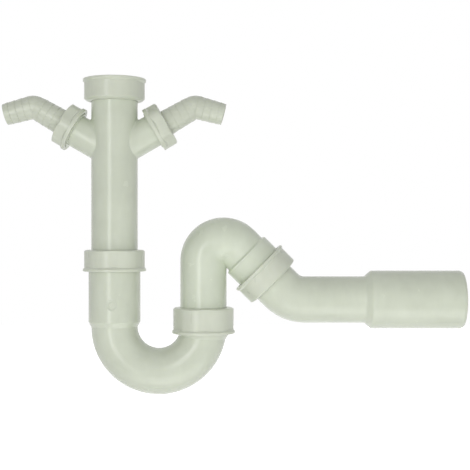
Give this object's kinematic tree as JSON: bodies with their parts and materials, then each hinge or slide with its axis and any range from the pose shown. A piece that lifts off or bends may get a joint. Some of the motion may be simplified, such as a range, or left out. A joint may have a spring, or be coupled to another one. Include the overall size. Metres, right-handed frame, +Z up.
{
  "type": "tubular trap",
  "caption": "Tubular sink trap with a union nut inlet, slanted hose branches with barbed tails, a U-bend, a swivelling gooseneck and a stepped outlet pipe.",
  "frame": {"origin": "on the inlet's axis at the open rim of the inlet union nut", "axes": "+Z up along the inlet, +X towards the level outlet pipe"},
  "size_m": [0.3978, 0.0544, 0.2724],
  "materials": {
    "tube_plastic": "satin moulded polypropylene",
    "nut_plastic": "satin moulded polypropylene",
    "tail_plastic": "satin moulded polypropylene",
    "seal_rubber": "matt moulded rubber"
  },
  "bodies": {
    "inlet_union_nut": {"inlet_union_nut": "nut_plastic"},
    "inlet_tube": {"inlet_tube": "tube_plastic", "inlet_gasket": "seal_rubber", "left_branch_gasket": "seal_rubber", "right_branch_gasket": "seal_rubber"},
    "left_branch_nut": {"left_branch_nut": "nut_plastic"},
    "left_hose_tail": {"left_hose_tail": "tail_plastic"},
    "right_branch_nut": {"right_branch_nut": "nut_plastic"},
    "right_hose_tail": {"right_hose_tail": "tail_plastic"},
    "slip_seal": {"slip_seal": "seal_rubber"},
    "trap_bend": {"trap_bend": "tube_plastic", "bend_outlet_seal": "seal_rubber"},
    "slip_nut": {"slip_nut": "nut_plastic"},
    "bend_outlet_nut": {"bend_outlet_nut": "nut_plastic"},
    "gooseneck": {"gooseneck": "tube_plastic"},
    "gooseneck_outlet_nut": {"gooseneck_outlet_nut": "nut_plastic"},
    "gooseneck_outlet_seal": {"gooseneck_outlet_seal": "seal_rubber"},
    "outlet_pipe": {"outlet_pipe": "tube_plastic"}
  },
  "joints": [
    {"name": "inlet_swivel", "type": "hinge", "parent": "inlet_union_nut", "child": "inlet_tube", "pos_m": [0, 0, -0.0163], "axis": [0, 0, 1], "continuous": true},
    {"name": "height_slide", "type": "slide", "parent": "inlet_tube", "child": "slip_seal", "axis": [0, 0, 1], "range_m": [-0.015, 0.015]},
    {"name": "trap_swivel", "type": "hinge", "parent": "slip_seal", "child": "trap_bend", "pos_m": [0, 0, -0.1544], "axis": [0, 0, 1], "continuous": true},
    {"name": "slip_nut_turn", "type": "hinge", "parent": "trap_bend", "child": "slip_nut", "pos_m": [0, 0, -0.1544], "axis": [0, 0, 1], "range_deg": [0, 1440]},
    {"name": "bend_nut_turn", "type": "hinge", "parent": "trap_bend", "child": "bend_outlet_nut", "pos_m": [0.077, 0, -0.2042], "axis": [0, 0, 1], "range_deg": [0, 1440]},
    {"name": "gooseneck_swivel", "type": "hinge", "parent": "trap_bend", "child": "gooseneck", "pos_m": [0.077, 0, -0.2042], "axis": [0, 0, 1], "range_deg": [-120, 120]},
    {"name": "outlet_nut_turn", "type": "hinge", "parent": "gooseneck", "child": "gooseneck_outlet_nut", "pos_m": [0.13258, 0, -0.17048], "axis": [0.7071, 0, -0.7071], "range_deg": [0, 1440]},
    {"name": "pipe_swivel", "type": "hinge", "parent": "gooseneck", "child": "gooseneck_outlet_seal", "pos_m": [0.13258, 0, -0.17048], "axis": [0.7071, 0, -0.7071], "continuous": true},
    {"name": "pipe_slide", "type": "slide", "parent": "gooseneck_outlet_seal", "child": "outlet_pipe", "axis": [0.7071, 0, -0.7071], "range_m": [0, 0.012]},
    {"name": "left_nut_turn", "type": "hinge", "parent": "inlet_tube", "child": "left_branch_nut", "pos_m": [-0.03871, 0, -0.04125], "axis": [-0.866, 0, 0.5], "range_deg": [0, 720]},
    {"name": "left_tail_swivel", "type": "hinge", "parent": "inlet_tube", "child": "left_hose_tail", "pos_m": [-0.04053, 0, -0.0402], "axis": [-0.866, 0, 0.5], "continuous": true},
    {"name": "right_nut_turn", "type": "hinge", "parent": "inlet_tube", "child": "right_branch_nut", "pos_m": [0.03871, 0, -0.04125], "axis": [0.866, 0, 0.5], "range_deg": [0, 720]},
    {"name": "right_tail_swivel", "type": "hinge", "parent": "inlet_tube", "child": "right_hose_tail", "pos_m": [0.04053, 0, -0.0402], "axis": [0.866, 0, 0.5], "continuous": true}
  ]
}
